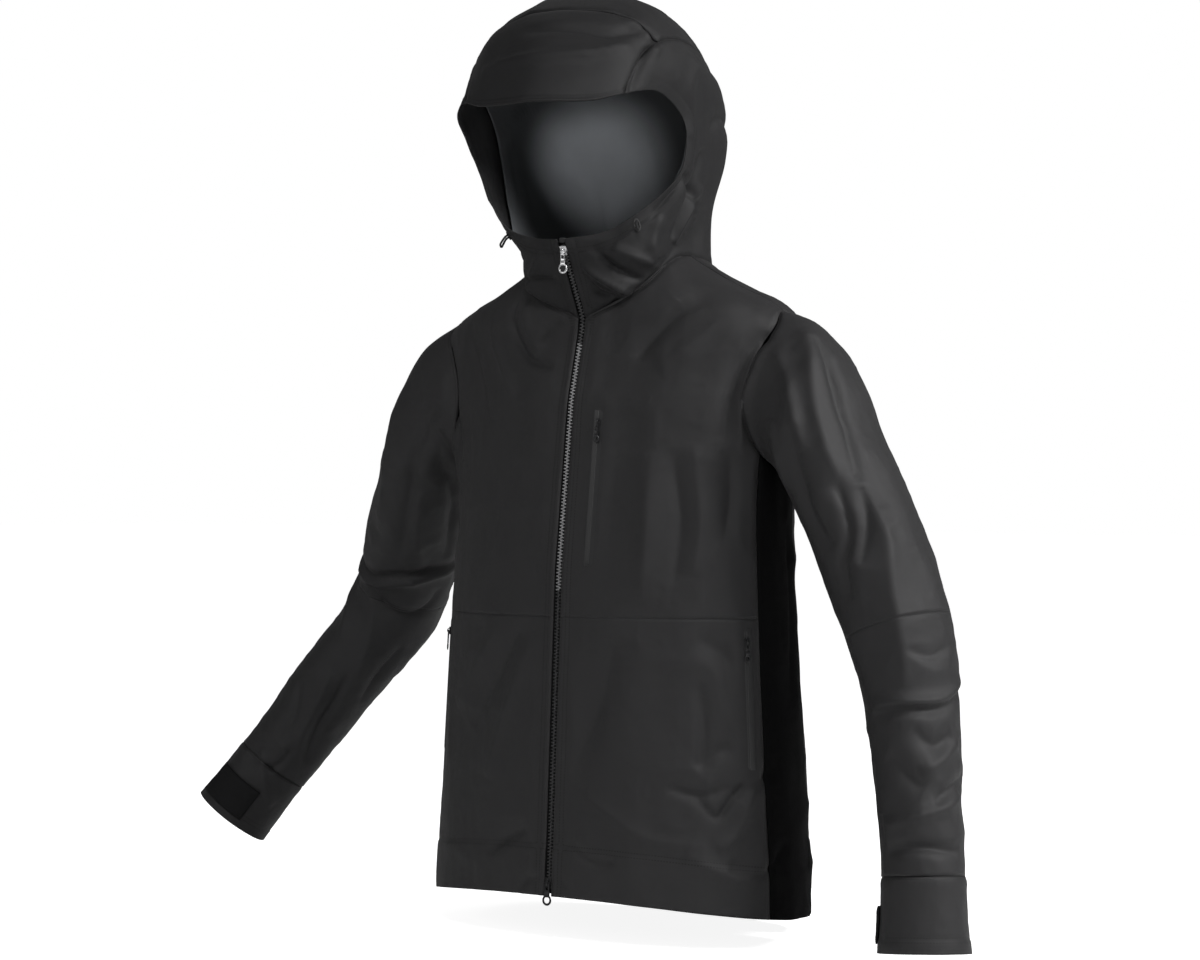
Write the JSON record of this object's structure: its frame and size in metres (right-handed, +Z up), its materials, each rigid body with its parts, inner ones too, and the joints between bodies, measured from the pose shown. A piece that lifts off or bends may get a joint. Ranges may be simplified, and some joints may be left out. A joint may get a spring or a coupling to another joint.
{
  "type": "hardshell jacket",
  "caption": "Hooded waterproof mountain shell with a two-way front zip, chest and hand pocket zips, articulated sleeves, hook-and-loop cuffs and a stiff-peaked helmet hood, standing as worn.",
  "frame": {"origin": "middle of the hanger loop, inside the back of the neck", "axes": "+X to the wearer's left, -Y out of the chest, +Z up"},
  "size_m": [1.0382, 0.3747, 1.0167],
  "materials": {
    "shell": "tight plain-weave shell cloth, matt",
    "side_shell": "darker plain-weave shell cloth, matt",
    "lining": "grey laminate backing",
    "trim": "black tape, elastic cord and hook-and-loop",
    "plastic": "moulded",
    "zip": "woven tape with moulded teeth",
    "black_metal": "black enamel",
    "silver_metal": "satin"
  },
  "bodies": {
    "torso": {"front_lower_left": "shell", "front_lower_right": "shell", "front_upper_left": "shell", "front_upper_right": "shell", "back_panel": "shell", "collar_left": "shell", "collar_right": "shell", "collar_back": "shell", "hood_neck": "shell", "zip_garage": "shell", "sleeve_cap_left": "shell", "sleeve_cap_right": "shell", "side_panel_left": "side_shell", "side_panel_right": "side_shell", "storm_flap": "trim", "hand_pocket_bag_left": "trim", "hand_pocket_bag_right": "trim", "chest_pocket_bag": "trim", "hem_facing": "trim", "neck_tape": "trim", "hanger_loop": "trim", "hood_cord_left": "trim", "hood_cord_right": "trim", "cord_eyelet_left": "plastic", "cord_eyelet_right": "plastic", "hem_cord_lock_left": "plastic", "hem_cord_lock_right": "plastic", "front_zip_left": "zip", "front_zip_right": "zip", "chest_zip": "zip", "hand_left_zip": "zip", "hand_right_zip": "zip"},
    "hood": {"hood_side_left": "shell", "hood_side_right": "shell", "hood_centre": "shell", "hood_peak": "shell", "hood_lining": "lining"},
    "upper_arm_left": {"sleeve_upper_left": "shell", "sleeve_elbow_left": "shell"},
    "forearm_left": {"sleeve_lower_left": "shell", "cuff_left": "shell", "cuff_loop_patch_left": "trim"},
    "cuff_tab_left": {"cuff_tab_left": "trim"},
    "upper_arm_right": {"sleeve_upper_right": "shell", "sleeve_elbow_right": "shell"},
    "forearm_right": {"sleeve_lower_right": "shell", "cuff_right": "shell", "cuff_loop_patch_right": "trim"},
    "cuff_tab_right": {"cuff_tab_right": "trim"},
    "front_top_slider": {"front_top_slider": "silver_metal"},
    "front_top_puller": {"front_top_puller": "silver_metal"},
    "front_bottom_slider": {"front_bottom_slider": "black_metal"},
    "front_bottom_puller": {"front_bottom_puller": "black_metal"},
    "chest_slider": {"chest_slider": "black_metal"},
    "chest_puller": {"chest_puller": "black_metal"},
    "hand_left_slider": {"hand_left_slider": "black_metal"},
    "hand_left_puller": {"hand_left_puller": "black_metal"},
    "hand_right_slider": {"hand_right_slider": "black_metal"},
    "hand_right_puller": {"hand_right_puller": "black_metal"}
  },
  "joints": [
    {"name": "hood_tilt", "type": "hinge", "parent": "torso", "child": "hood", "pos_m": [0, -0.10641, 0.09003], "axis": [1, 0, 0], "range_deg": [-14, 10], "deforming": ["hood_neck"]},
    {"name": "shoulder_left", "type": "hinge", "parent": "torso", "child": "upper_arm_left", "pos_m": [0.222, -0.07141, -0.08497], "axis": [0, -1, 0], "range_deg": [-6, 45], "deforming": ["sleeve_cap_left"]},
    {"name": "elbow_left", "type": "hinge", "parent": "upper_arm_left", "child": "forearm_left", "pos_m": [0.35, -0.07541, -0.37697], "axis": [-0.9602, -0.026, -0.2781], "range_deg": [0, 55], "deforming": ["sleeve_elbow_left"]},
    {"name": "cuff_tab_peel_left", "type": "hinge", "parent": "forearm_left", "child": "cuff_tab_left", "pos_m": [0.36614, -0.07301, -0.66011], "axis": [0.0408, -0.0744, -0.9964], "range_deg": [0, 100]},
    {"name": "shoulder_right", "type": "hinge", "parent": "torso", "child": "upper_arm_right", "pos_m": [-0.222, -0.07141, -0.08497], "axis": [0, 1, 0], "range_deg": [-8, 40], "deforming": ["sleeve_cap_right"]},
    {"name": "elbow_right", "type": "hinge", "parent": "upper_arm_right", "child": "forearm_right", "pos_m": [-0.387, 0.02459, -0.35297], "axis": [-0.841, 0.02, 0.5406], "range_deg": [-20, 45], "deforming": ["sleeve_elbow_right"]},
    {"name": "cuff_tab_peel_right", "type": "hinge", "parent": "forearm_right", "child": "cuff_tab_right", "pos_m": [-0.50682, -0.10998, -0.59469], "axis": [0.4914, 0.3635, 0.7914], "range_deg": [0, 100]},
    {"name": "front_top_slide", "type": "slide", "parent": "torso", "child": "front_top_slider", "axis": [0, 0.44, -0.898], "range_m": [0, 0.055]},
    {"name": "front_top_puller_swing", "type": "hinge", "parent": "front_top_slider", "child": "front_top_puller", "pos_m": [0, -0.18551, 0.03866], "axis": [-1, 0, 0], "range_deg": [-22, 130]},
    {"name": "front_bottom_slide", "type": "slide", "parent": "torso", "child": "front_bottom_slider", "axis": [0, 0.055, 0.9985], "range_m": [0, 0.29]},
    {"name": "front_bottom_puller_swing", "type": "hinge", "parent": "front_bottom_slider", "child": "front_bottom_puller", "pos_m": [0, -0.21433, -0.63083], "axis": [-1, 0, 0], "range_deg": [0, 150]},
    {"name": "chest_slide", "type": "slide", "parent": "torso", "child": "chest_slider", "axis": [0, -0.1263, -0.992], "range_m": [0, 0.138]},
    {"name": "chest_puller_swing", "type": "hinge", "parent": "chest_slider", "child": "chest_puller", "pos_m": [0.03736, -0.17541, -0.1435], "axis": [-0.9928, -0.1191, 0.0152], "range_deg": [0, 150]},
    {"name": "hand_left_slide", "type": "slide", "parent": "torso", "child": "hand_left_slider", "axis": [0.0502, -0.0243, -0.9984], "range_m": [0, 0.118]},
    {"name": "hand_left_puller_swing", "type": "hinge", "parent": "hand_left_slider", "child": "hand_left_puller", "pos_m": [0.1952, -0.12917, -0.37379], "axis": [-0.6918, -0.7219, -0.0172], "range_deg": [0, 150]},
    {"name": "hand_right_slide", "type": "slide", "parent": "torso", "child": "hand_right_slider", "axis": [-0.0502, -0.0243, -0.9984], "range_m": [0, 0.118]},
    {"name": "hand_right_puller_swing", "type": "hinge", "parent": "hand_right_slider", "child": "hand_right_puller", "pos_m": [-0.1952, -0.12917, -0.37379], "axis": [-0.6918, 0.7219, 0.0172], "range_deg": [0, 150]}
  ]
}
